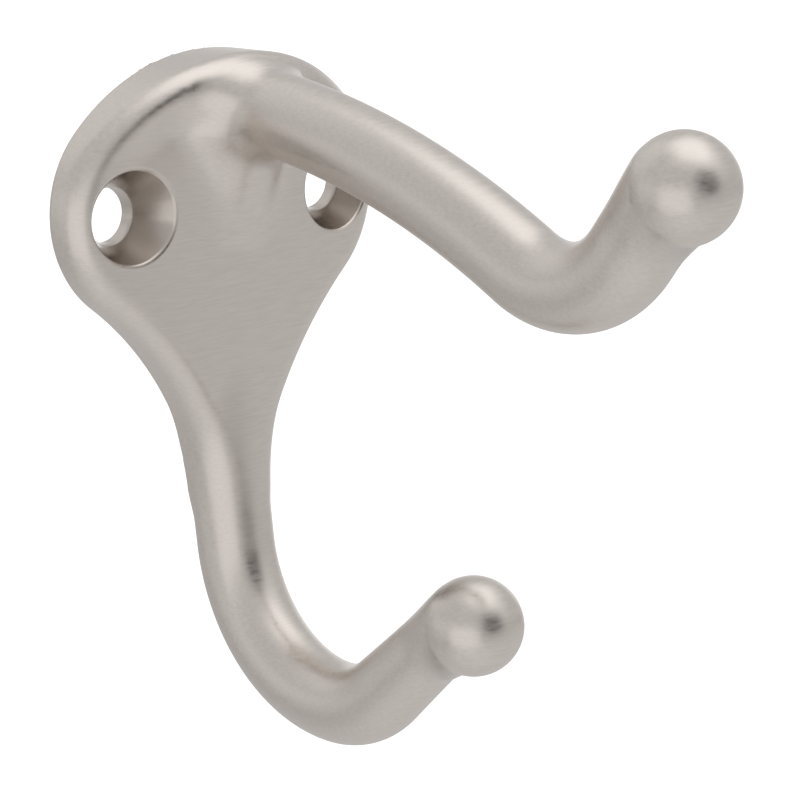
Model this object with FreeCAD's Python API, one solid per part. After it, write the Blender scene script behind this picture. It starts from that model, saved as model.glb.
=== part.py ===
import FreeCAD, Part
import math
import os

# Double robe hook, cast in one piece, in millimetres.
# X runs across the hook, +Z is up and the front faces -Y. The wall face is the plane y = 0.
# The origin is on the wall face, midway between the two screw holes.

# Screw holes
hole_spacing = 30.0
hole_diameter = 6.2
bore_length = 1.9
countersink_angle = 55.0

# Backplate: a wide crown, a round lobe beside each screw hole, and a waist that runs down into the neck.
# Its face is part of a broad cylinder, thickest along the middle, and leans so that the neck is thinner
# than the crown. The thickness is taken midway between the screw holes.
# The lobes' centres are level with the screw holes, and the crown rises above the lobes.
plate_thickness = 7.2
face_radius = 80.0
face_lean_angle = 2.5
edge_margin = 7.15
lobe_radius = 13.3
crown_rise = 3.7
waist_radius = 38.0
neck_half_width = 3.1
front_edge_radius = 1.3
back_edge_radius = 1.1

# Roll: the raised bead along the crown's edge, fullest beside the arm and gone at the lobes
roll_radius = 2.7
roll_end_radius = 1.2
roll_front = 8.9
roll_end_front = 5.2
roll_reach_angle = 42.0
roll_inset = 0.3
roll_rings = 11

# Upper arm: its centreline arches down, bends up and runs straight to the ball
upper_root_drop = 5.5
upper_root_out = 3.0
upper_root_angle = 2.7
upper_arch_angle = 28.4
upper_arch_length = 51.6
upper_bend_radius = 12.4
upper_tip_angle = 48.6
upper_tip_length = 10.9
upper_bar_radius = 4.6
upper_ball_radius = 5.6

# Root of the upper arm, which spreads as it meets the plate
flare_half_width = 9.5
flare_half_height = 5.6
flare_length = 12.0
flare_drop = 1.0

# Lower hook: its bar leans out of the plate, turns round a deep bend and rises to the ball
lower_start_height = -12.0
lower_start_out = 0.0
neck_lean_angle = 6.3
neck_length = 27.9
neck_radius = 4.8
lower_bend_radius = 17.7
lower_belly_radius = 12.2
lower_tip_angle = 40.0
lower_tip_length = 17.8
lower_bar_radius = 4.3
belly_bar_radius = 4.6
wrist_bar_radius = 3.85
lower_ball_radius = 5.4

# Each ball stands this much over the end of its bar along the top, and more below
ball_cover = 0.12

ring_points = 24
station_spacing = 2.0

half_width = 0.5 * hole_spacing + edge_margin
lobe_centre_x = half_width - lobe_radius
crown_height = lobe_radius + crown_rise
crown_radius = 0.5 * (lobe_centre_x ** 2 + crown_height ** 2 - lobe_radius ** 2) / crown_rise
upper_root_height = crown_height - upper_root_drop
quarter_turn = 90.0


def vector(x, y, z):
    return FreeCAD.Vector(x, y, z)


def rotate(point, angle):
    """Turns a point (out, height) about the origin by an angle in degrees."""
    turn = math.radians(angle)
    out = point[0] * math.cos(turn) - point[1] * math.sin(turn)
    height = point[0] * math.sin(turn) + point[1] * math.cos(turn)
    return (out, height)


def plate_outline():
    """Closed outline of the plate on the wall face: crown, lobes, waist and neck, each tangent to the next."""
    crown_z = crown_height - crown_radius
    lobe_z = 0.0
    waist_x = neck_half_width + waist_radius
    waist_z = lobe_z - math.sqrt((waist_radius + lobe_radius) ** 2 - (waist_x - lobe_centre_x) ** 2)
    crown_angle = math.atan2(lobe_z - crown_z, lobe_centre_x)
    waist_angle = math.atan2(waist_z - lobe_z, waist_x - lobe_centre_x)

    def on_circle(x, z, radius, angle, side):
        return vector(side * (x + radius * math.cos(angle)), 0, z + radius * math.sin(angle))

    def half(side):
        shoulder = on_circle(lobe_centre_x, lobe_z, lobe_radius, crown_angle, side)
        outermost = on_circle(lobe_centre_x, lobe_z, lobe_radius, 0.5 * (crown_angle + waist_angle), side)
        flank = on_circle(lobe_centre_x, lobe_z, lobe_radius, waist_angle, side)
        waist = on_circle(waist_x, waist_z, waist_radius, math.pi + 0.5 * waist_angle, side)
        neck = vector(side * neck_half_width, 0, waist_z)
        return shoulder, outermost, flank, waist, neck

    left = half(-1)
    right = half(1)
    edges = [
        Part.Arc(left[0], vector(0, 0, crown_height), right[0]),
        Part.Arc(right[0], right[1], right[2]),
        Part.Arc(right[2], right[3], right[4]),
        Part.LineSegment(right[4], left[4]),
        Part.Arc(left[4], left[3], left[2]),
        Part.Arc(left[2], left[1], left[0]),
    ]
    return Part.Wire([edge.toShape() for edge in edges])


def backplate():
    """The plate: flat at the wall, with a cylindrical face and edges rounded at the front and the back."""
    slab = Part.Face(plate_outline()).extrude(vector(0, -2 * plate_thickness, 0))
    lean = math.radians(face_lean_angle)
    axis = vector(0, -math.sin(lean), math.cos(lean))
    axis_start = vector(0, face_radius - plate_thickness, 0) - axis * (2 * face_radius)
    plate = slab.common(Part.makeCylinder(face_radius, 4 * face_radius, axis_start, axis))
    front_edges = [edge for edge in plate.Edges if edge.BoundBox.YMax < -0.5 * plate_thickness]
    plate = plate.makeFillet(front_edge_radius, front_edges)
    back_edges = [edge for edge in plate.Edges if edge.BoundBox.YMin > -0.01 * plate_thickness]
    return plate.makeFillet(back_edge_radius, back_edges)


def oval(centre, across, along):
    """Closed smooth curve about a centre, through the tips of two vectors at right angles."""
    points = []
    for index in range(ring_points):
        angle = 2 * math.pi * index / ring_points
        points.append(centre + across * math.cos(angle) + along * math.sin(angle))
    curve = Part.BSplineCurve()
    curve.interpolate(Points=points, PeriodicFlag=True)
    return Part.Wire([curve.toShape()])


def crown_roll():
    """Raised bead that follows the crown's edge and swells towards the arm."""
    rings = []
    for index in range(roll_rings):
        share = 2 * index / (roll_rings - 1) - 1
        swell = math.cos(0.5 * math.pi * share) ** 2
        radius = roll_end_radius + (roll_radius - roll_end_radius) * swell
        front = roll_end_front + (roll_front - roll_end_front) * swell
        angle = math.radians(share * roll_reach_angle)
        outward = vector(math.sin(angle), 0, math.cos(angle))
        centre = outward * (crown_radius - radius - roll_inset)
        centre = centre + vector(0, radius - front, crown_height - crown_radius)
        rings.append(oval(centre, outward * radius, vector(0, -radius, 0)))
    return Part.makeLoft(rings, True, False)


def path_point(path, distance):
    """Point (out, height) and heading in degrees at a distance along a path of lines and arcs."""
    point, heading = path[0]
    for length, radius in path[1:]:
        run = min(distance, length)
        if radius == 0:
            step = (run, 0.0)
            turn = 0.0
        else:
            turn = math.degrees(run / radius)
            step = (radius * math.sin(math.radians(turn)), radius * (1 - math.cos(math.radians(turn))))
        move = rotate(step, heading)
        point = (point[0] + move[0], point[1] + move[1])
        heading = heading + turn
        distance = distance - run
        if distance <= 0:
            break
    return point, heading


def path_length(path):
    return sum(length for length, radius in path[1:])


def ring(centre, heading, half_width, half_height):
    """Oval across a path: half_width along X, half_height in the path's own plane."""
    normal = rotate((0.0, half_height), heading)
    return oval(vector(0, -centre[0], centre[1]), vector(half_width, 0, 0), vector(0, -normal[0], normal[1]))


def blend(start, end, share):
    """Smooth change from start to end as share goes from 0 to 1."""
    share = min(max(share, 0.0), 1.0)
    return start + (end - start) * share * share * (3 - 2 * share)


def ball_at(path, radius, bar_radius):
    """Ball end, whose top runs on from the top of its bar, so that it bulges below and at the sides."""
    end, heading = path_point(path, path_length(path))
    offset = rotate((0.0, bar_radius + ball_cover - radius), heading)
    return Part.makeSphere(radius, vector(0, -(end[0] + offset[0]), end[1] + offset[1]))


def upper_path():
    arch_radius = -upper_arch_length / math.radians(upper_arch_angle - upper_root_angle)
    bend_length = upper_bend_radius * math.radians(upper_arch_angle + upper_tip_angle)
    start = ((upper_root_out, upper_root_height), -upper_root_angle)
    return [start, (upper_arch_length, arch_radius), (bend_length, upper_bend_radius), (upper_tip_length, 0)]


def upper_arm():
    """Upper bar, with the hood where it leaves the crown and the ball at its tip."""
    path = upper_path()
    length = path_length(path)
    count = int(length / station_spacing)
    rings = []
    for index in range(count + 1):
        distance = length * index / count
        centre, heading = path_point(path, distance)
        spread = max(0.0, 1.0 - distance / flare_length) ** 2
        half_width = upper_bar_radius + (flare_half_width - upper_bar_radius) * spread
        half_height = upper_bar_radius + (flare_half_height - upper_bar_radius) * spread
        lowered = (centre[0], centre[1] - flare_drop * spread)
        rings.append(ring(lowered, heading, half_width, half_height))
    return Part.makeLoft(rings, True, False), ball_at(path, upper_ball_radius, upper_bar_radius)


def lower_path():
    start = ((lower_start_out, lower_start_height), neck_lean_angle - quarter_turn)
    bend_length = lower_bend_radius * math.radians(quarter_turn - neck_lean_angle)
    belly_length = lower_belly_radius * math.radians(lower_tip_angle)
    return [
        start,
        (neck_length, 0),
        (bend_length, lower_bend_radius),
        (belly_length, lower_belly_radius),
        (lower_tip_length, 0),
    ]


def lower_hook():
    """Lower bar: full at the neck, slimmer down the bend, fuller in the belly and slim at the wrist."""
    path = lower_path()
    length = path_length(path)
    neck_end = path[1][0]
    belly = neck_end + path[2][0]
    wrist = length - 0.5 * lower_tip_length
    count = int(length / station_spacing)
    rings = []
    for index in range(count + 1):
        distance = length * index / count
        centre, heading = path_point(path, distance)
        if distance < neck_end:
            radius = blend(neck_radius, lower_bar_radius, distance / neck_end)
        elif distance < belly:
            radius = blend(lower_bar_radius, belly_bar_radius, (distance - neck_end) / (belly - neck_end))
        else:
            radius = blend(belly_bar_radius, wrist_bar_radius, (distance - belly) / (wrist - belly))
        rings.append(ring(centre, heading, radius, radius))
    return Part.makeLoft(rings, True, False), ball_at(path, lower_ball_radius, wrist_bar_radius)


def screw_hole(x):
    """Straight bore from the wall, then a countersink out to just past the face."""
    radius = 0.5 * hole_diameter
    depth = plate_thickness - bore_length + front_edge_radius
    slope = math.tan(math.radians(0.5 * countersink_angle))
    toward_front = vector(0, -1, 0)
    bore = Part.makeCylinder(radius, 2 * plate_thickness, vector(x, plate_thickness, 0), toward_front)
    cone = Part.makeCone(radius, radius + depth * slope, depth, vector(x, -bore_length, 0), toward_front)
    return bore.fuse(cone)


def robe_hook():
    solid = backplate().fuse(crown_roll())
    for bar, ball in (upper_arm(), lower_hook()):
        solid = solid.fuse(bar).fuse(ball)
    for side in (-1, 1):
        solid = solid.cut(screw_hole(side * 0.5 * hole_spacing))
    reach = 200.0
    behind_wall = Part.makeBox(2 * reach, reach, 2 * reach, vector(-reach, 0, -reach))
    return solid.cut(behind_wall).removeSplitter()


os.makedirs("parts", exist_ok=True)
hook = robe_hook()
hook.exportStep("parts/robe_hook.step")
box = hook.BoundBox
print("robe_hook valid", hook.isValid(), "solids", len(hook.Solids), "faces", len(hook.Faces))
print("size", round(box.XLength, 2), round(box.YLength, 2), round(box.ZLength, 2), "volume", round(hook.Volume))
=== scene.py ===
# %% [markdown]
# # Double robe hook in satin nickel
# The real hook is one casting: a shaped backplate with two countersunk screw holes, a long upper arm
# and a deep lower hook, each with a ball end. This lesson rebuilds its skin in Blender over the solid
# that the frame holds, and then gives it a brushed satin finish. Everything is in metres, with +Z up,
# the wall at y = 0 and the hook reaching towards -Y. Opening the frame comes first. The finished skin
# has to stay inside it.

# %% Open the frame
import math

import bpy
import numpy as np
from mathutils import Matrix, Vector


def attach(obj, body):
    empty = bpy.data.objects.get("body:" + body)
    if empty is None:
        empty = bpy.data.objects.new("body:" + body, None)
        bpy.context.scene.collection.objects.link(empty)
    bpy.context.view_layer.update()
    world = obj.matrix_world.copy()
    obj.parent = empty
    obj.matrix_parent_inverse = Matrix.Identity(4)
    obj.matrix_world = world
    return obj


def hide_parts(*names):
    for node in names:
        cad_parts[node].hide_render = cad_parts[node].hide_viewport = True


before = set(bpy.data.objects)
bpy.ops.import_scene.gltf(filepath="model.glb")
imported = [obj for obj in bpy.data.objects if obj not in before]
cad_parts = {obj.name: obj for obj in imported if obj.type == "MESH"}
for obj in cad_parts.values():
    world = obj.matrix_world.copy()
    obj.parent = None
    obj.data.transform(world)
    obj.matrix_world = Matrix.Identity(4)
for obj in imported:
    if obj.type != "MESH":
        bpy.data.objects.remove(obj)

bpy.context.view_layer.update()

# %% [markdown]
# The camera stands to the left of the hook and a little above it, close enough for the arms to grow
# towards the viewer. It could be placed by eye, but turn, drop and roll angles about a point that it
# looks at are easier to change one at a time, so the camera is built from those. The Standard view
# transform shows colours as they are written.

# %% Camera
camera_turn = math.radians(41.52)
camera_drop = math.radians(12.26)
camera_roll = math.radians(-1.90)
camera_distance = 0.4
looks_at = Vector((0.012688, -0.017972, -0.023220))


def make_camera():
    ahead = Vector((math.sin(camera_turn) * math.cos(camera_drop),
                    math.cos(camera_turn) * math.cos(camera_drop),
                    -math.sin(camera_drop)))
    level_right = ahead.cross(Vector((0, 0, 1))).normalized()
    level_up = level_right.cross(ahead)
    right = math.cos(camera_roll) * level_right + math.sin(camera_roll) * level_up
    up = right.cross(ahead)
    data = bpy.data.cameras.new("hook_camera")
    data.sensor_width = 36
    data.lens = 158.7
    data.clip_start = 0.01
    data.clip_end = 20
    camera = bpy.data.objects.new("hook_camera", data)
    bpy.context.collection.objects.link(camera)
    camera.rotation_euler = Matrix((right, up, -ahead)).transposed().to_euler()
    camera.location = looks_at - camera_distance * ahead
    bpy.context.scene.camera = camera
    return camera


camera = make_camera()
bpy.context.scene.view_settings.view_transform = "Standard"
print("camera at", [round(c, 4) for c in camera.location])

# %% [markdown]
# The sizes of the casting are those of its solid, in millimetres. Both centrelines lie in the plane
# x = 0, so a point on them needs two numbers only: how far out from the wall, and how high. A chain of
# straight runs and arcs describes each one. It could be a hand-placed curve, but runs and arcs keep the
# bends round and let a later step ask how far any point lies from the bar's middle.

# %% Centrelines
upper_start, upper_dip = (3.0, 11.5), 2.7
arm_length, arm_dip = 51.6, 28.4
elbow_radius, elbow_turn, upper_tip_length = 12.4, 79.0, 10.2
lower_start, neck_lean = (0.0, -12.0), 6.3
neck_length, lower_tip_length = 27.9, 17.8
belly_radius, belly_turn = 17.7, 83.7
wrist_radius, wrist_turn = 12.2, 40.0


def bend(radius, turn):
    """A run that turns upwards by so many degrees."""
    return radius * math.radians(turn), radius


upper_runs = [(arm_length, -arm_length / math.radians(arm_dip - upper_dip)),
              bend(elbow_radius, elbow_turn), (upper_tip_length, 0)]
lower_runs = [(neck_length, 0), bend(belly_radius, belly_turn),
              bend(wrist_radius, wrist_turn), (lower_tip_length, 0)]


class Centreline:
    """Runs of (length, radius) one after the other; radius 0 is straight and a negative one bends down."""

    def __init__(self, start, heading, runs):
        self.runs = []
        point, angle, travelled = np.array(start, float), math.radians(heading), 0.0
        for length, radius in runs:
            self.runs.append((point, angle, length, radius, travelled))
            along = np.array([math.cos(angle), math.sin(angle)])
            left = np.array([-along[1], along[0]])
            if radius == 0:
                point = point + length * along
            else:
                swing = length / radius
                point = point + radius * (math.sin(swing) * along + (1 - math.cos(swing)) * left)
                angle += swing
            travelled += length
        self.length, self.tip, self.tip_angle = travelled, point, angle

    def locate(self, out, height):
        """Distance along the line and offset to its upper side, for arrays of points."""
        nearest = np.full(out.shape, np.inf)
        along_line, offset = np.zeros(out.shape), np.zeros(out.shape)
        for point, angle, length, radius, travelled in self.runs:
            ca, sa = math.cos(angle), math.sin(angle)
            u = (out - point[0]) * ca + (height - point[1]) * sa
            v = -(out - point[0]) * sa + (height - point[1]) * ca
            if radius == 0:
                s, n = u, v
                gap = np.hypot(u - np.clip(u, 0, length), v)
            else:
                side = math.copysign(1.0, radius)
                s = np.arctan2(u, side * (radius - v)) * abs(radius)
                reach = np.hypot(u, radius - v)
                n = side * (abs(radius) - reach)
                inside = np.clip(s, 0, length)
                gap = np.hypot(reach * np.sin((s - inside) / abs(radius)), abs(radius) - reach)
                gap = np.where(s == inside, np.abs(n), gap)
            better = gap < nearest - 1e-9
            nearest = np.where(better, gap, nearest)
            along_line = np.where(better, s + travelled, along_line)
            offset = np.where(better, n, offset)
        return along_line, offset

    def points(self, spacing):
        """Points (out, height) every so often along the line, for the rough bar."""
        found = []
        for point, angle, length, radius, travelled in self.runs:
            for s in np.linspace(0, length, max(2, int(length / spacing)), endpoint=False):
                swing = s / radius if radius else 0.0
                u = radius * math.sin(swing) if radius else s
                v = radius * (1 - math.cos(swing)) if radius else 0.0
                found.append((point[0] + u * math.cos(angle) - v * math.sin(angle),
                              point[1] + u * math.sin(angle) + v * math.cos(angle)))
        return found + [tuple(self.tip)]


upper_line = Centreline(upper_start, -upper_dip, upper_runs)
lower_line = Centreline(lower_start, neck_lean - 90.0, lower_runs)
print("upper arm", round(upper_line.length, 1), "mm to", np.round(upper_line.tip, 1))
print("lower hook", round(lower_line.length, 1), "mm to", np.round(lower_line.tip, 1))

# %% [markdown]
# A casting has no sharp inner corners, because molten metal and the polishing wheel round them all.
# Booleans of clean shapes give the opposite: hard creases where bar meets plate. The way chosen here is
# to write each form as a distance, in millimetres, from any point to its surface, and to weld those
# distances with round fillets. The plate comes first. Its outline is four tangent arcs a side, and its
# face rises into a hood under the crown's edge.

# %% The plate as a distance
crown_height, lobe_radius, lobe_x = 17.0, 13.3, 8.845
crown_radius = 0.5 * (lobe_x ** 2 + crown_height ** 2 - lobe_radius ** 2) / (crown_height - lobe_radius)
crown_z = crown_height - crown_radius
neck_half_width, waist_radius = 3.1, 38.0
waist_x = neck_half_width + waist_radius
waist_z = -math.sqrt((waist_radius + lobe_radius) ** 2 - (waist_x - lobe_x) ** 2)
plate_thickness, face_radius, face_lean = 7.2, 110.0, math.radians(2.5)
edge_round, crown_round, neck_round, wall_round = 2.6, 3.0, 3.6, 1.0
neck_round_below = 10
hood_rise, hood_depth, hood_reach = 2.5, 6.8, math.radians(60)
hood_shelf, hood_power, hood_slope = 1.2, 1.4, 0.35


def smooth_step(low, high, value):
    share = np.clip((value - low) / (high - low), 0, 1)
    return share * share * (3 - 2 * share)


def outline_distance(x, z):
    x = np.abs(x)
    crown = np.hypot(x, z - crown_z) - crown_radius
    lobe = np.hypot(x - lobe_x, z) - lobe_radius
    waist = waist_radius - np.hypot(x - waist_x, z - waist_z)
    in_crown = lobe_x * (z - crown_z) + crown_z * x > 0
    in_waist = ((waist_x - lobe_x) * z - waist_z * (x - lobe_x) < 0) & ~in_crown
    below = z < waist_z
    side = np.where(in_crown, crown, np.where(in_waist, waist, lobe))
    return np.where(below, x - neck_half_width, side)


def round_corner(a, b, radius):
    """Inside both a and b, with a rounded outer edge."""
    u, v = np.maximum(a + radius, 0), np.maximum(b + radius, 0)
    return np.minimum(np.maximum(a, b) + radius, 0) + np.hypot(u, v) - radius


def plate_distance(x, out, z):
    rim = outline_distance(x, z)
    swell = np.cos(0.5 * math.pi * np.clip(np.arctan2(x, z - crown_z) / hood_reach, -1, 1)) ** 2
    lift = (1 - smooth_step(hood_shelf, hood_depth, -rim)) ** hood_power
    face = np.hypot(x, out + face_radius - plate_thickness - z * math.tan(face_lean)) - face_radius
    # The hood's flank makes this distance grow too fast, so it is divided down there.
    face = (face - hood_rise * swell * lift) / (1 + hood_slope * swell * lift * (1 - lift) * 4)
    corner = edge_round + (crown_round - edge_round) * swell
    corner = corner + (neck_round - edge_round) * smooth_step(neck_round_below, -waist_z, -z)
    plate = np.maximum(round_corner(rim, face, corner), round_corner(rim, -out, wall_round))
    return np.maximum(plate, waist_z - z)


print("plate", round(2 * (lobe_x + lobe_radius), 1), "mm wide, from", round(waist_z, 1), "to", crown_height)

# %% [markdown]
# Each bar is an oval that slides along its centreline. The upper arm spreads where it leaves the plate,
# and the lower hook is full at the neck and in the belly of its bend and slim at the wrist before the
# ball. A ball's top runs on from the bar's top, so its centre lies a little under the line's tip. The
# bar also widens sideways towards the ball, like cheeks, so only the underside keeps a notch. Under the
# arm's root a keel runs down the plate's face and dies out below the arm.

# %% The bars and balls as distances
upper_bar, lower_bar, neck_bar, belly_bar, wrist_bar = 4.72, 4.45, 5.0, 4.6, 4.0
upper_ball, lower_ball, wrist_place = 5.8, 5.45, 0.2
cheeks, cheek_length = 0.75, 8.0
flare_width, flare_height, flare_length, flare_drop = 9.5, 5.6, 12.0, 1.0
keel_top, keel_foot = np.array([7.9, 8.9, 5.0]), np.array([4.3, -1.5, 2.9])


def oval_distance(x, n, half_width, half_height):
    """Distance from an oval's edge: none on the edge, and nearly true beside it."""
    k0 = np.hypot(x / half_width, n / half_height)
    k1 = np.hypot(x / half_width ** 2, n / half_height ** 2)
    return k0 * (k0 - 1) / np.maximum(k1, 1e-9)


def cheek_width(line, s, bar_radius, ball_radius):
    """How much wider than its radius the bar is, s along the line, towards its ball."""
    return cheeks * (ball_radius - bar_radius) * smooth_step(line.length - cheek_length, line.length, s)


def upper_bar_distance(x, out, z):
    s, n = upper_line.locate(out, z)
    spread = np.clip(1 - s / flare_length, 0, 1) ** 2
    widen = cheek_width(upper_line, s, upper_bar, upper_ball)
    across = np.hypot(n + flare_drop * spread, np.maximum(s - upper_line.length, 0))
    return oval_distance(x, across, upper_bar + (flare_width - upper_bar) * spread + widen,
                         upper_bar + (flare_height - upper_bar) * spread)


def lower_bar_distance(x, out, z):
    s, n = lower_line.locate(out, z)
    belly = neck_length + lower_runs[1][0]
    wrist = lower_line.length - wrist_place * lower_tip_length
    radius = neck_bar + (lower_bar - neck_bar) * smooth_step(0, neck_length, s)
    radius = radius + (belly_bar - lower_bar) * smooth_step(neck_length, belly, s)
    radius = radius + (wrist_bar - belly_bar) * smooth_step(belly, wrist, s)
    widen = cheek_width(lower_line, s, wrist_bar, lower_ball)
    across = np.hypot(n, np.maximum(s - lower_line.length, 0))
    return np.maximum(oval_distance(x, across, radius + widen, radius), -s)


def keel_distance(x, out, z):
    """A cone with round ends, from (out, height, radius) under the arm to its foot on the plate's face."""
    axis = keel_foot[:2] - keel_top[:2]
    share = ((out - keel_top[0]) * axis[0] + (z - keel_top[1]) * axis[1]) / np.dot(axis, axis)
    share = np.clip(share, 0, 1)
    middle_out, middle_z = keel_top[0] + share * axis[0], keel_top[1] + share * axis[1]
    radius = keel_top[2] + share * (keel_foot[2] - keel_top[2])
    return np.sqrt(x ** 2 + (out - middle_out) ** 2 + (z - middle_z) ** 2) - radius


def ball_centre(line, bar_radius, ball_radius):
    drop = ball_radius - bar_radius
    return line.tip + drop * np.array([math.sin(line.tip_angle), -math.cos(line.tip_angle)])


upper_ball_at = ball_centre(upper_line, upper_bar, upper_ball)
lower_ball_at = ball_centre(lower_line, wrist_bar, lower_ball)


def ball_distance(x, out, z, centre, radius):
    return np.sqrt(x ** 2 + (out - centre[0]) ** 2 + (z - centre[1]) ** 2) - radius


print("ball centres (out, height)", np.round(upper_ball_at, 1), np.round(lower_ball_at, 1))

# %% [markdown]
# The screw holes are turned shapes: a straight bore at the wall and a wide countersink in front. They
# are cut after the welding, as the drill does on the real casting, so their rims are crisp with only a
# small burnished edge.

# %% The screw holes as a distance
hole_x, bore_radius, bore_length = 15.0, 3.1, 1.9
sink_angle, past_face = math.radians(27.5), 3
sink_radius = bore_radius + (plate_thickness - bore_length) * math.tan(sink_angle)


def hole_distances(x, out, z):
    """Distance outside the bore and outside the countersink."""
    radius = np.hypot(np.abs(x) - hole_x, z)
    bore = radius - bore_radius
    sink = (radius - bore_radius - (out - bore_length) * math.tan(sink_angle)) * math.cos(sink_angle)
    ending = out - plate_thickness - past_face
    sink = np.where(out < plate_thickness + past_face, sink, np.maximum(sink, ending))
    return bore, sink


print("countersink", round(sink_radius, 2), "mm in radius at the face")

# %% [markdown]
# Welding two forms means adding a fillet where their surfaces cross, and none where they run side by
# side, as the top of the arm does with the top of the plate. So the fillet's radius depends on the angle
# between the two surfaces, which their gradients give. Every form is measured at a point and at three
# points beside it, and that is enough for its gradient and for the gradient of the welded skin. At the
# neck and under the arm's root the plate and the bars are nearly side by side and a fillet would come
# too late, so they melt together there over a soft band. The back is cut flat, for the wall.

# %% Weld the forms
fillets = {("plate", "root"): 4.6, ("plate", "hook"): 0.2,
           ("root", "upper_ball"): 4.0, ("hook", "lower_ball"): 3.5}
root_fillet_heights = (1, 10)
neck_melt, neck_heights = 2.4, (-39.5, -33, -24, -14)
keel_melt, keel_spread, keel_heights = 3.6, 3.8, (-9, -3, 6.5, 10)
rim_round, seat_round, back_round = 0.3, 0.2, 0.25
no_fillet_above, fillet_grows_over, least_radius = 0.95, 0.6, 1e-3


def melt(a, b, width):
    """Joins two forms that run nearly side by side, over a wide soft band."""
    near = np.maximum(width - np.abs(a - b), 0) / width
    return np.minimum(a, b) - 0.25 * width * near * near


def forms(p):
    x, out, z = p[:, 0], -p[:, 1], p[:, 2]
    bore, sink = hole_distances(x, out, z)
    return {
        "plate": plate_distance(x, out, z),
        "root": melt(upper_bar_distance(x, out, z), keel_distance(x, out, z), keel_melt),
        "hook": lower_bar_distance(x, out, z),
        "upper_ball": ball_distance(x, out, z, upper_ball_at, upper_ball),
        "lower_ball": ball_distance(x, out, z, lower_ball_at, lower_ball),
        "bore": bore,
        "sink": sink,
        "back": -out,
    }


def fillet(a, b, radius):
    u, v = np.maximum(radius - a, 0), np.maximum(radius - b, 0)
    return np.maximum(radius, np.minimum(a, b)) - np.hypot(u, v)


def weld(found, radii):
    found = dict(found, hook=round_corner(found["hook"], found["back"], back_round))
    body = np.minimum.reduce([fillet(found[a], found[b], radii[a, b]) for a, b in fillets])
    body = np.minimum(body, melt(found["plate"], found["hook"], radii["neck"]))
    body = np.minimum(body, melt(found["plate"], found["root"], radii["keel"]))
    body = np.maximum(body, found["back"])
    hole = -round_corner(-found["bore"], -found["sink"], seat_round)
    return round_corner(body, -hole, rim_round)


def height_band(z, foot, full_from, full_to, top):
    """1 between two heights, and fading to 0 at the foot and at the top."""
    return smooth_step(foot, full_from, z) * smooth_step(-top, -full_to, -z)


def weld_radii(slope, z):
    """How wide each weld is at every point, from the angle between its two forms and from the height."""
    radii = {}
    for a, b in fillets:
        facing = np.sum(slope[a] * slope[b], 1)
        facing /= np.linalg.norm(slope[a], axis=1) * np.linalg.norm(slope[b], axis=1) + 1e-12
        share = np.clip((no_fillet_above - facing) / fillet_grows_over, 0, 1)
        radii[a, b] = np.maximum(fillets[a, b] * share, least_radius)
    fade = smooth_step(*root_fillet_heights, z)
    radii["plate", "root"] = np.maximum(radii["plate", "root"] * fade, least_radius)
    radii["neck"] = np.maximum(neck_melt * height_band(z, *neck_heights), least_radius)
    radii["keel"] = np.maximum(keel_spread * height_band(z, *keel_heights), least_radius)
    return radii


def measure_skin(p, nudge=1e-4):
    """Signed distance of points from the skin, its gradient, and the forms found there."""
    here = forms(p)
    beside = [forms(p + nudge * np.eye(3)[axis]) for axis in range(3)]
    slope = {name: np.stack([b[name] - here[name] for b in beside], 1) / nudge for name in here}
    radii = weld_radii(slope, p[:, 2])
    value = weld(here, radii)
    gradient = np.stack([weld(b, radii) - value for b in beside], 1) / nudge
    return value, gradient, here


probe = np.array([[0.0, -40.0, 30.0], [0.0, -5.0, 5.0]])
print("distance of an outer and an inner point", np.round(measure_skin(probe)[0], 2))

# %% [markdown]
# The distances say where the skin is, but a mesh is needed to carry it. A rough one does: its vertices
# only have to start near the skin. The bars follow their centrelines, which is work for Geometry Nodes.
# One tree sweeps a circle along a curve, lets it taper from a root radius to the bar's radius, and puts
# the ball at the curve's end. Its sizes are named inputs, so both bars use the same tree.

# %% A tree for a bar with a ball end
def new_tree(name, inputs):
    tree = bpy.data.node_groups.new(name, "GeometryNodeTree")
    for label, kind in inputs:
        tree.interface.new_socket(name=label, in_out="INPUT", socket_type=kind)
    tree.interface.new_socket(name="Geometry", in_out="OUTPUT", socket_type="NodeSocketGeometry")
    return tree, tree.nodes.new("NodeGroupInput"), tree.nodes.new("NodeGroupOutput")


def add_node(tree, kind, settings=(), **values):
    node = tree.nodes.new(kind)
    for name, value in dict(settings).items():
        setattr(node, name, value)
    for name, value in values.items():
        node.inputs[name.replace("_", " ")].default_value = value
    return node


bar_inputs = [("Geometry", "NodeSocketGeometry"), ("Root Radius", "NodeSocketFloat"),
              ("Bar Radius", "NodeSocketFloat"), ("Root Length", "NodeSocketFloat"),
              ("Ball Radius", "NodeSocketFloat"), ("Ball Offset", "NodeSocketVector"),
              ("Sides", "NodeSocketInt"), ("Finish", "NodeSocketMaterial")]
bar_tree, given, result = new_tree("bar_with_ball_end", bar_inputs)
even = add_node(bar_tree, "GeometryNodeResampleCurve", {"mode": "LENGTH"}, Length=0.001)
place = add_node(bar_tree, "GeometryNodeSplineParameter")
taper = add_node(bar_tree, "ShaderNodeMapRange", {"interpolation_type": "SMOOTHSTEP"})
circle = add_node(bar_tree, "GeometryNodeCurvePrimitiveCircle", Radius=1.0)
sweep = add_node(bar_tree, "GeometryNodeCurveToMesh", Fill_Caps=True)
last = add_node(bar_tree, "GeometryNodeCurveEndpointSelection", Start_Size=0, End_Size=1)
ball = add_node(bar_tree, "GeometryNodeMeshUVSphere", Segments=32, Rings=16)
at_tip = add_node(bar_tree, "GeometryNodeInstanceOnPoints")
shift = add_node(bar_tree, "GeometryNodeTranslateInstances", Local_Space=False)
both = add_node(bar_tree, "GeometryNodeJoinGeometry")
real = add_node(bar_tree, "GeometryNodeRealizeInstances")
coat = add_node(bar_tree, "GeometryNodeSetMaterial")
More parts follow.
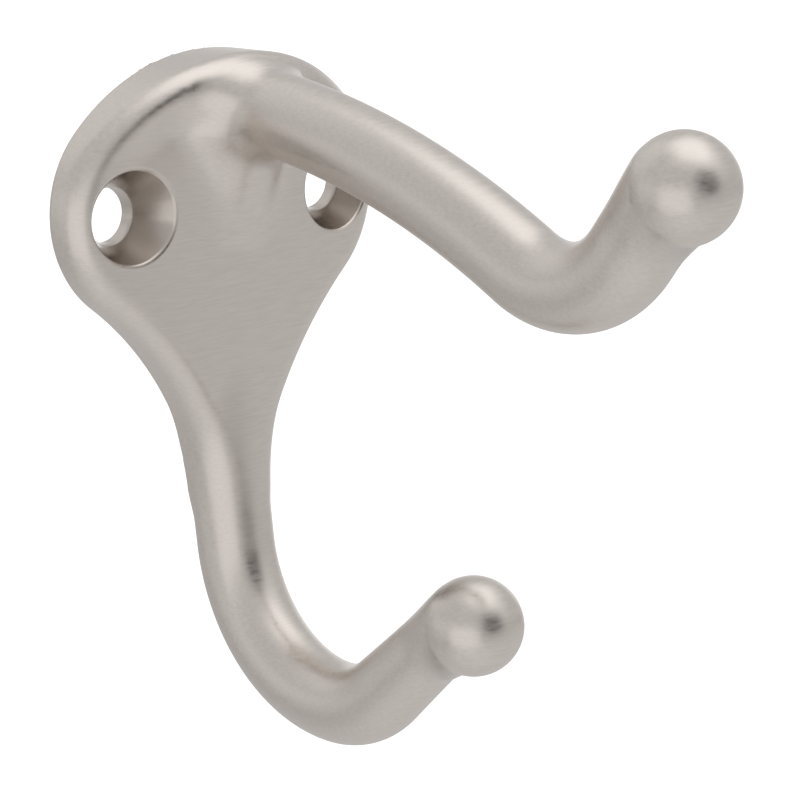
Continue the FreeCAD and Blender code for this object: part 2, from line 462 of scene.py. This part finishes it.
for start, end in [(given.outputs["Geometry"], even.inputs["Curve"]),
                   (place.outputs["Length"], taper.inputs["Value"]),
                   (given.outputs["Root Length"], taper.inputs["From Max"]),
                   (given.outputs["Root Radius"], taper.inputs["To Min"]),
                   (given.outputs["Bar Radius"], taper.inputs["To Max"]),
                   (given.outputs["Sides"], circle.inputs["Resolution"]),
                   (even.outputs["Curve"], sweep.inputs["Curve"]),
                   (circle.outputs["Curve"], sweep.inputs["Profile Curve"]),
                   (taper.outputs["Result"], sweep.inputs["Scale"]),
                   (given.outputs["Ball Radius"], ball.inputs["Radius"]),
                   (even.outputs["Curve"], at_tip.inputs["Points"]),
                   (last.outputs["Selection"], at_tip.inputs["Selection"]),
                   (ball.outputs["Mesh"], at_tip.inputs["Instance"]),
                   (at_tip.outputs["Instances"], shift.inputs["Instances"]),
                   (given.outputs["Ball Offset"], shift.inputs["Translation"]),
                   (sweep.outputs["Mesh"], both.inputs["Geometry"]),
                   (shift.outputs["Instances"], both.inputs["Geometry"]),
                   (both.outputs["Geometry"], real.inputs["Geometry"]),
                   (real.outputs["Geometry"], coat.inputs["Geometry"]),
                   (given.outputs["Finish"], coat.inputs["Material"]),
                   (coat.outputs["Geometry"], result.inputs["Geometry"])]:
    bar_tree.links.new(start, end)

satin = bpy.data.materials.new("satin_nickel")
satin.use_nodes = True
print("bar tree has", len(bar_tree.nodes), "nodes")

# %% [markdown]
# The plate is rough too: its outline pushed out from the wall. Both screw holes are the same cutter,
# so a second tree instances that cutter on a line of two points, spaced as the holes are, and takes it
# away from the plate. A change of the spacing moves both holes at once.

# %% A tree for a plate with screw holes
plate_inputs = [("Geometry", "NodeSocketGeometry"), ("Thickness", "NodeSocketFloat"),
                ("Hole Spacing", "NodeSocketFloat"), ("Bore Radius", "NodeSocketFloat"),
                ("Rim Radius", "NodeSocketFloat"), ("Bore Length", "NodeSocketFloat"),
                ("Finish", "NodeSocketMaterial")]
plate_tree, given, result = new_tree("plate_with_screw_holes", plate_inputs)


def calculate(tree, operation, a, b):
    node = add_node(tree, "ShaderNodeMath", {"operation": operation})
    for socket, value in zip(node.inputs, (a, b)):
        if isinstance(value, (int, float)):
            socket.default_value = value
        else:
            tree.links.new(value, socket)
    return node.outputs["Value"]


def as_vector(tree, **parts):
    node = add_node(tree, "ShaderNodeCombineXYZ")
    for axis, value in parts.items():
        tree.links.new(value, node.inputs[axis])
    return node.outputs["Vector"]


outward = calculate(plate_tree, "MULTIPLY", given.outputs["Thickness"], -1.0)
push = add_node(plate_tree, "GeometryNodeExtrudeMesh", Individual=False)
turn_back = add_node(plate_tree, "GeometryNodeFlipFaces")
closed = add_node(plate_tree, "GeometryNodeJoinGeometry")
merged = add_node(plate_tree, "GeometryNodeMergeByDistance", Distance=1e-6)
sink_depth = calculate(plate_tree, "SUBTRACT", given.outputs["Thickness"], given.outputs["Bore Length"])
bore = add_node(plate_tree, "GeometryNodeMeshCylinder", Vertices=48, Depth=0.04)
cone = add_node(plate_tree, "GeometryNodeMeshCone", Vertices=48)
cone_up = add_node(plate_tree, "GeometryNodeTransform")
cutter = add_node(plate_tree, "GeometryNodeJoinGeometry")
to_wall = add_node(plate_tree, "GeometryNodeTransform", Rotation=(math.radians(90), 0, 0))
row = add_node(plate_tree, "GeometryNodeMeshLine", Count=2)
holes = add_node(plate_tree, "GeometryNodeInstanceOnPoints")
holes_real = add_node(plate_tree, "GeometryNodeRealizeInstances")
cut = add_node(plate_tree, "GeometryNodeMeshBoolean", {"operation": "DIFFERENCE", "solver": "EXACT"})
cut.inputs["Self Intersection"].default_value = True
coat = add_node(plate_tree, "GeometryNodeSetMaterial")
for start, end in [(given.outputs["Geometry"], push.inputs["Mesh"]),
                   (as_vector(plate_tree, Y=outward), push.inputs["Offset"]),
                   (given.outputs["Geometry"], turn_back.inputs["Mesh"]),
                   (push.outputs["Mesh"], closed.inputs["Geometry"]),
                   (turn_back.outputs["Mesh"], closed.inputs["Geometry"]),
                   (closed.outputs["Geometry"], merged.inputs["Geometry"]),
                   (given.outputs["Bore Radius"], bore.inputs["Radius"]),
                   (given.outputs["Bore Radius"], cone.inputs["Radius Bottom"]),
                   (given.outputs["Rim Radius"], cone.inputs["Radius Top"]),
                   (sink_depth, cone.inputs["Depth"]),
                   (cone.outputs["Mesh"], cone_up.inputs["Geometry"]),
                   (as_vector(plate_tree, Z=given.outputs["Bore Length"]), cone_up.inputs["Translation"]),
                   (bore.outputs["Mesh"], cutter.inputs["Geometry"]),
                   (cone_up.outputs["Geometry"], cutter.inputs["Geometry"]),
                   (cutter.outputs["Geometry"], to_wall.inputs["Geometry"]),
                   (as_vector(plate_tree, X=given.outputs["Hole Spacing"]), row.inputs["Offset"]),
                   (row.outputs["Mesh"], holes.inputs["Points"]),
                   (to_wall.outputs["Geometry"], holes.inputs["Instance"]),
                   (holes.outputs["Instances"], holes_real.inputs["Geometry"]),
                   (merged.outputs["Geometry"], cut.inputs["Mesh 1"]),
                   (holes_real.outputs["Geometry"], cut.inputs["Mesh 2"]),
                   (cut.outputs["Mesh"], coat.inputs["Geometry"]),
                   (given.outputs["Finish"], coat.inputs["Material"]),
                   (coat.outputs["Geometry"], result.inputs["Geometry"])]:
    plate_tree.links.new(start, end)
half_back = calculate(plate_tree, "MULTIPLY", given.outputs["Hole Spacing"], -0.5)
plate_tree.links.new(as_vector(plate_tree, X=half_back), row.inputs["Start Location"])
print("plate tree has", len(plate_tree.nodes), "nodes")

# %% [markdown]
# The trees run on plain starting shapes: a poly curve through points on each centreline, and a flat face
# for the outline. A modifier's inputs are set by each socket's identifier before the object is looked
# at, and then the result is copied out as a plain mesh.

# %% Rough parts from the trees
def run_tree(name, data, tree, values):
    holder = bpy.data.objects.new(name, data)
    bpy.context.collection.objects.link(holder)
    modifier = holder.modifiers.new(name, "NODES")
    modifier.node_group = tree
    for item in tree.interface.items_tree:
        if item.in_out == "INPUT" and item.name in values:
            modifier[item.identifier] = values[item.name]
    graph = bpy.context.evaluated_depsgraph_get()
    mesh = bpy.data.meshes.new_from_object(holder.evaluated_get(graph))
    holder.modifiers.remove(modifier)
    bpy.data.objects.remove(holder)
    print(name, "rough mesh of", len(mesh.polygons), "faces")
    return mesh


def centreline_curve(name, line):
    curve = bpy.data.curves.new(name, "CURVE")
    curve.dimensions = "3D"
    route = line.points(1.0)
    spline = curve.splines.new("POLY")
    spline.points.add(len(route) - 1)
    for point, (out, height) in zip(spline.points, route):
        point.co = (0, -0.001 * out, 0.001 * height, 1)
    return curve


def rough_bar(name, line, root, bar, root_length, ball_radius, centre):
    offset = centre - line.tip
    values = {"Root Radius": 0.001 * root, "Bar Radius": 0.001 * bar, "Root Length": 0.001 * root_length,
              "Ball Radius": 0.001 * ball_radius, "Sides": 32, "Finish": satin,
              "Ball Offset": (0.0, -0.001 * offset[0], 0.001 * offset[1])}
    return run_tree(name, centreline_curve(name, line), bar_tree, values)


def outline_points(spacing, widest=30, tries=3001):
    """Points round the outline, found by walking out sideways from the middle at every height."""
    found = []
    for z in np.arange(waist_z, crown_height, spacing):
        reach = np.linspace(0, widest, tries)
        inside = reach[outline_distance(reach, np.full(reach.shape, z)) < 0]
        if len(inside):
            found.append((inside[-1], z))
    return [(-x, z) for x, z in found] + [(x, z) for x, z in reversed(found)]


def outline_face():
    mesh = bpy.data.meshes.new("plate_outline")
    corners = outline_points(0.5)
    mesh.from_pydata([(0.001 * x, 0, 0.001 * z) for x, z in corners], [], [tuple(range(len(corners)))])
    return mesh


rough = [
    rough_bar("upper_bar", upper_line, flare_height, upper_bar, flare_length, upper_ball, upper_ball_at),
    rough_bar("lower_bar", lower_line, neck_bar, lower_bar, neck_length, lower_ball, lower_ball_at),
    run_tree("plate", outline_face(), plate_tree,
             {"Thickness": 0.001 * plate_thickness, "Hole Spacing": 0.002 * hole_x,
              "Bore Radius": 0.001 * bore_radius, "Bore Length": 0.001 * bore_length,
              "Rim Radius": 0.001 * sink_radius, "Finish": satin}),
]

# %% [markdown]
# Now the three rough parts become one closed mesh of even quads. A boolean union would keep their long
# thin faces, so a voxel remesh is used instead: it walks round the joined volume and lays a fresh grid
# of quads over it, half a millimetre apart.

# %% One closed mesh
quad_size = 0.0005


def join_rough(parts):
    vertices, faces = [], []
    for mesh in parts:
        base = len(vertices)
        vertices += [tuple(v.co) for v in mesh.vertices]
        faces += [tuple(base + i for i in p.vertices) for p in mesh.polygons]
    joined = bpy.data.meshes.new("robe_hook_skin")
    joined.from_pydata(vertices, [], faces)
    hook = bpy.data.objects.new("robe_hook_skin", joined)
    bpy.context.collection.objects.link(hook)
    modifier = hook.modifiers.new("even_quads", "REMESH")
    modifier.mode = "VOXEL"
    modifier.voxel_size = quad_size
    graph = bpy.context.evaluated_depsgraph_get()
    hook.data = bpy.data.meshes.new_from_object(hook.evaluated_get(graph))
    hook.modifiers.remove(modifier)
    return hook


hook = join_rough(rough)
print("remeshed skin", len(hook.data.vertices), "vertices", len(hook.data.polygons), "faces")

# %% [markdown]
# The mesh is close to the skin but not on it, and where the rough parts met it still has creases. Each
# vertex is now moved along the gradient until its distance is zero, which puts the fillets, the hood and
# the rims in. Between moves, every vertex slides along the skin towards the middle of its neighbours, so
# the quads stay even. Rims that are tighter than a quad come out blunt at first, and wait for the next
# step.

# %% Settle the mesh on the skin
def read_points(mesh):
    points = np.empty(3 * len(mesh.vertices))
    mesh.vertices.foreach_get("co", points)
    return 1000 * points.reshape(-1, 3)


def write_points(mesh, points):
    mesh.vertices.foreach_set("co", (0.001 * points).ravel())
    mesh.update()


def drop_on_skin(points, rounds, longest=0.5, least_slope=0.3):
    """Moves points to the skin, and also gives the skin's normals and the forms there."""
    for _ in range(rounds):
        value, gradient, found = measure_skin(points)
        squared = np.sum(gradient ** 2, 1)
        length = np.sqrt(squared + 1e-12)[:, None]
        move = np.clip(value / np.maximum(np.sqrt(squared), least_slope), -longest, longest)
        points = points - move[:, None] * gradient / length
    return points, gradient / length, found


def slide_even(points, normals, edges, share=0.5):
    total, count = np.zeros_like(points), np.bincount(edges.ravel(), minlength=len(points))
    for a, b in ((0, 1), (1, 0)):
        for axis in range(3):
            total[:, axis] += np.bincount(edges[:, a], points[edges[:, b], axis], len(points))
    pull = total / count[:, None] - points
    pull -= np.sum(pull * normals, 1)[:, None] * normals
    return points + share * pull


def settle(mesh, passes):
    edges = np.empty(2 * len(mesh.edges), int)
    mesh.edges.foreach_get("vertices", edges)
    edges = edges.reshape(-1, 2)
    points, normals, found = drop_on_skin(read_points(mesh), 4)
    for _ in range(passes):
        points, normals, found = drop_on_skin(slide_even(points, normals, edges), 2)
    points, normals, found = drop_on_skin(points, 3)
    write_points(mesh, points)
    print("settled", len(points), "vertices, farthest off by",
          round(float(np.abs(measure_skin(points)[0]).max()), 4), "mm")
    return points, normals, found


def near_rims(found, width):
    """Which points lie by a hole's edge or seat, and which by the back edge."""
    body = np.minimum.reduce([found[name] for name in ("plate", "root", "hook")])
    hole = np.minimum(found["bore"], found["sink"])
    rim = np.maximum(np.abs(body), np.abs(hole)) < width
    seat = (np.maximum(np.abs(found["bore"]), np.abs(found["sink"])) < width) & (body < width)
    back = (np.abs(found["back"]) < width) & ((np.abs(body) < width) | (np.abs(hole) < width))
    return rim | seat, back


settle(hook.data, 4)

# %% [markdown]
# The burnished rims and the back edge turn within a quarter of a millimetre, less than one quad, so the
# quads there are split, twice at the rims and once at the back edge, and settled again. Dividing the
# whole mesh that finely would give a million faces, and nothing would be gained on the smooth bars.

# %% Finer quads at the rims
import bmesh


def divide(mesh, chosen):
    work = bmesh.new()
    work.from_mesh(mesh)
    work.verts.ensure_lookup_table()
    edges = [e for e in work.edges if chosen[e.verts[0].index] and chosen[e.verts[1].index]]
    bmesh.ops.subdivide_edges(work, edges=edges, cuts=1, use_grid_fill=True)
    bmesh.ops.triangulate(work, faces=[f for f in work.faces if len(f.verts) > 4])
    work.to_mesh(mesh)
    work.free()


def refine(mesh, width, with_back):
    rims, back = near_rims(forms(read_points(mesh)), width)
    divide(mesh, rims | back if with_back else rims)
    print("divided to", len(mesh.polygons), "faces")


refine(hook.data, width=0.9, with_back=True)
settle(hook.data, 3)
refine(hook.data, width=0.5, with_back=False)
points, normals, found = settle(hook.data, 2)

# %% [markdown]
# Shading needs normals. The mesh could average them from its faces, but the skin's own gradient is at
# hand at every vertex and is exact, so that is stored as the mesh's normals. A second thing that the
# distances know is where the drill went: each vertex in a bore or countersink gets 1 in an attribute
# called machined, which the finish reads for a smoother roughness and for painted shade in the holes.

# %% Normals and the machined surfaces
hook.data.shade_smooth()
hook.data.normals_split_custom_set_from_vertices(normals)
off_drill = np.minimum(np.abs(found["bore"]), np.abs(found["sink"]))
by_hole = np.minimum(found["bore"], found["sink"]) < 0.4
machined = 1 - smooth_step(0.05, 0.25, np.where(by_hole, off_drill, 1))
attribute = hook.data.attributes.new("machined", "FLOAT", "POINT")
attribute.data.foreach_set("value", machined)
hook.data.materials.clear()
hook.data.materials.append(satin)
print("machined vertices", int((machined > 0.5).sum()))

# %% [markdown]
# Satin nickel is a thin bright coat over brass, rubbed with a fine belt. The rubbing leaves short fine
# scratches that run across the hook, and they blur its reflections. Noise stretched along X gives them:
# it nudges colour and roughness a little and the surface as a bump. Larger, softer noise gives the
# slight unevenness of a hand-polished casting. What the drill turned is smoother, and its colour is
# darkened as painted shade in the hollows of the holes; the attribute mixes both in.

# %% Satin nickel
def finish_node(kind, settings=(), **values):
    return add_node(satin.node_tree, kind, settings, **values)


def wire(*pairs):
    for start, end in pairs:
        satin.node_tree.links.new(start, end)


dark_tone, light_tone = (0.530, 0.488, 0.452, 1), (0.715, 0.665, 0.622, 1)
# painted shade: this darker colour stands in for the shade inside the bores and countersinks
hole_painted_shade_tone = (0.530, 0.485, 0.445, 1)
satin.node_tree.nodes.clear()
surface = finish_node("ShaderNodeOutputMaterial")
metal = finish_node("ShaderNodeBsdfPrincipled", Metallic=1.0)
where = finish_node("ShaderNodeTexCoord")
along = finish_node("ShaderNodeMapping", Scale=(300.0, 2000.0, 4200.0))
scratches = finish_node("ShaderNodeTexNoise", Scale=1.0, Detail=3.0, Roughness=0.6)
broad = finish_node("ShaderNodeTexNoise", Scale=90.0, Detail=3.0, Roughness=0.5)
tone = finish_node("ShaderNodeValToRGB")
for stop, position, colour in zip(tone.color_ramp.elements, (0.25, 0.75), (dark_tone, light_tone)):
    stop.position, stop.color = position, colour
mixed = finish_node("ShaderNodeMath", {"operation": "MULTIPLY_ADD"})
mixed.inputs[1].default_value, mixed.inputs[2].default_value = 0.5, 0.25
rough_range = finish_node("ShaderNodeMapRange", From_Min=0.3, From_Max=0.7, To_Min=0.29, To_Max=0.41)
drilled = finish_node("ShaderNodeAttribute", {"attribute_name": "machined"})
rough_mix = finish_node("ShaderNodeMix", {"data_type": "FLOAT"})
rough_mix.inputs["B"].default_value = 0.26
# painted shade: the machined attribute mixes the darker hole colour into the base colour
shade = finish_node("ShaderNodeMix", {"data_type": "RGBA"}, B=hole_painted_shade_tone)
grain = finish_node("ShaderNodeBump", Strength=0.14, Distance=0.00003)
wave = finish_node("ShaderNodeBump", Strength=0.25, Distance=0.0002)
wire((where.outputs["Object"], along.inputs["Vector"]),
     (where.outputs["Object"], broad.inputs["Vector"]),
     (along.outputs["Vector"], scratches.inputs["Vector"]),
     (scratches.outputs["Fac"], mixed.inputs[0]),
     (mixed.outputs["Value"], tone.inputs["Fac"]),
     (tone.outputs["Color"], shade.inputs["A"]),
     (drilled.outputs["Fac"], shade.inputs["Factor"]),
     (shade.outputs["Result"], metal.inputs["Base Color"]),
     (scratches.outputs["Fac"], rough_range.inputs["Value"]),
     (rough_range.outputs["Result"], rough_mix.inputs["A"]),
     (drilled.outputs["Fac"], rough_mix.inputs["Factor"]),
     (rough_mix.outputs["Result"], metal.inputs["Roughness"]),
     (broad.outputs["Fac"], wave.inputs["Height"]),
     (wave.outputs["Normal"], grain.inputs["Normal"]),
     (scratches.outputs["Fac"], grain.inputs["Height"]),
     (grain.outputs["Normal"], metal.inputs["Normal"]),
     (metal.outputs["BSDF"], surface.inputs["Surface"]))
print("satin nickel has", len(satin.node_tree.nodes), "nodes")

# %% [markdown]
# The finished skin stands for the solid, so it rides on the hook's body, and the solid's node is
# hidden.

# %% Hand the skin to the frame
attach(hook, "root")
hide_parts("robe_hook")

# %% [markdown]
# The hook was photographed on white, with no wall behind it. A pale floor well below it keeps a soft
# shadow, and looks white to the camera because of Light Path rather than of more light. A satin surface
# shows mostly what stands round it, so the room that reflections see isn't even: it is a little brighter
# overhead, and darker in front, where the photographer stood. Those are soft round patches, each with a
# direction, a size and a change of strength, and the floor has two soft bright pools of the same kind.

# %% Floor and background
def path_ray(tree, *kinds):
    """1 for the named kinds of ray, from the Light Path node."""
    light_path = add_node(tree, "ShaderNodeLightPath")
    total = light_path.outputs[kinds[0]]
    for kind in kinds[1:]:
        total = calculate(tree, "MAXIMUM", total, light_path.outputs[kind])
    return total


def near_spot(tree, spot, full, end, gain):
    """A soft round pool on the floor about a spot, brighter than the rest by the gain."""
    place = add_node(tree, "ShaderNodeTexCoord")
    gap = add_node(tree, "ShaderNodeVectorMath", {"operation": "DISTANCE"})
    gap.inputs[1].default_value = spot
    tree.links.new(place.outputs["Object"], gap.inputs[0])
    soft = add_node(tree, "ShaderNodeMapRange", {"interpolation_type": "SMOOTHSTEP"},
                    From_Min=full, From_Max=end, To_Min=gain, To_Max=0.0)
    tree.links.new(gap.outputs["Value"], soft.inputs["Value"])
    return soft.outputs["Result"]


def make_floor():
    mesh = bpy.data.meshes.new("floor")
    work = bmesh.new()
    bmesh.ops.create_grid(work, x_segments=1, y_segments=1, size=12.0)
    work.to_mesh(mesh)
    work.free()
    floor = bpy.data.objects.new("floor", mesh)
    floor.location = (0, 0, -0.80)
    bpy.context.collection.objects.link(floor)
    pale = bpy.data.materials.new("pale_floor")
    pale.use_nodes = True
    tree = pale.node_tree
    tree.nodes.clear()
    matt = add_node(tree, "ShaderNodeBsdfDiffuse", Color=(0.70, 0.70, 0.70, 1))
    glow = add_node(tree, "ShaderNodeEmission")
    total = add_node(tree, "ShaderNodeAddShader")
    end = add_node(tree, "ShaderNodeOutputMaterial")
    seen = calculate(tree, "MULTIPLY", path_ray(tree, "Is Camera Ray"), 0.7)
    pools = calculate(tree, "ADD", near_spot(tree, (2.0, -1.8, 0), 1.5, 4.5, 0.17), 0.04)
    pools = calculate(tree, "ADD", pools, near_spot(tree, (-0.5, -0.5, 0), 0.2, 1.2, 0.10))
    shown = calculate(tree, "MULTIPLY", path_ray(tree, "Is Glossy Ray", "Is Transmission Ray"), pools)
    tree.links.new(calculate(tree, "MAXIMUM", seen, shown), glow.inputs["Strength"])
    tree.links.new(matt.outputs["BSDF"], total.inputs[0])
    tree.links.new(glow.outputs["Emission"], total.inputs[1])
    tree.links.new(total.outputs["Shader"], end.inputs["Surface"])
    mesh.materials.append(pale)
    return floor


floor = make_floor()

world = bpy.data.worlds.new("white_studio")
world.use_nodes = True
bpy.context.scene.world = world
sky = world.node_tree
sky.nodes.clear()
room = add_node(sky, "ShaderNodeBackground", Color=(1, 1, 1, 1), Strength=0.75)
white = add_node(sky, "ShaderNodeBackground", Color=(1, 1, 1, 1), Strength=1.0)
choose = add_node(sky, "ShaderNodeMixShader")
out = add_node(sky, "ShaderNodeOutputWorld")
direction = add_node(sky, "ShaderNodeTexCoord")


def patch(toward, start, full, change):
    """A soft round patch of the room about one direction, brighter or darker than the rest."""
    nearness = add_node(sky, "ShaderNodeVectorMath", {"operation": "DOT_PRODUCT"})
    nearness.inputs[1].default_value = Vector(toward).normalized()
    sky.links.new(direction.outputs["Generated"], nearness.inputs[0])
    soft = add_node(sky, "ShaderNodeMapRange", {"interpolation_type": "SMOOTHSTEP"},
                    From_Min=start, From_Max=full, To_Min=0.0, To_Max=change)
    sky.links.new(nearness.outputs["Value"], soft.inputs["Value"])
    return soft.outputs["Result"]


room_patches = {
    "overhead": ((0.20, -0.15, 0.95), 0.66, 0.96, 0.36),
    "behind": ((0.0, 1.0, 0.05), 0.86, 1.0, -0.15),
    "high behind": ((-0.12, 0.80, 0.59), 0.84, 0.96, 0.18),
    "high in front": ((0.40, -0.68, 0.61), 0.82, 0.97, 0.18),
    "in front": ((0.0, -0.98, 0.15), 0.78, 0.96, -0.17),
    "middle of the front": ((0.08, -0.95, 0.28), 0.89, 0.985, -0.55),
}
walls = 0.70
for toward, start, full, change in room_patches.values():
    walls = calculate(sky, "ADD", patch(toward, start, full, change), walls)
shown = calculate(sky, "MULTIPLY", path_ray(sky, "Is Glossy Ray", "Is Transmission Ray"), walls)
seen = path_ray(sky, "Is Camera Ray")
sky.links.new(calculate(sky, "MAXIMUM", seen, shown), white.inputs["Strength"])
sky.links.new(path_ray(sky, "Is Camera Ray", "Is Glossy Ray", "Is Transmission Ray"), choose.inputs["Fac"])
sky.links.new(room.outputs["Background"], choose.inputs[1])
sky.links.new(white.outputs["Background"], choose.inputs[2])
sky.links.new(choose.outputs["Shader"], out.inputs["Surface"])
print("floor at", floor.location.z)

# %% [markdown]
# The lamps are large soft boxes, whose reflections draw the bright stripes along the bars: one overhead,
# one low in front on the left, which also lights the plate's rounded edge, and two small ones behind the
# hook, left and right, for the side walls and the right flanks of the bars.

# %% Soft boxes
hook_middle = Vector((0, -0.03, -0.02))


def soft_box(name, place, width, height, power):
    """A rectangular lamp that faces the middle of the hook."""
    data = bpy.data.lights.new(name, "AREA")
    data.shape = "RECTANGLE"
    data.size, data.size_y, data.energy = width, height, power
    lamp = bpy.data.objects.new(name, data)
    lamp.location = place
    lamp.rotation_euler = (hook_middle - Vector(place)).to_track_quat("-Z", "Y").to_euler()
    bpy.context.collection.objects.link(lamp)
    return lamp


soft_box("overhead_box", (0.22, -0.16, 1.08), 1.1, 1.0, 1.3)
soft_box("left_box", (-0.86, -0.46, -0.25), 1.3, 0.8, 1.5)
soft_box("back_box", (-0.86, 0.58, -0.08), 0.8, 0.6, 0.22)
soft_box("right_box", (0.90, 0.76, -0.08), 1.0, 0.5, 0.75)

# %% [markdown]
# The last cell measures the finished skin against the solid's box and hands the scene over.

# %% Finish
bpy.context.view_layer.update()
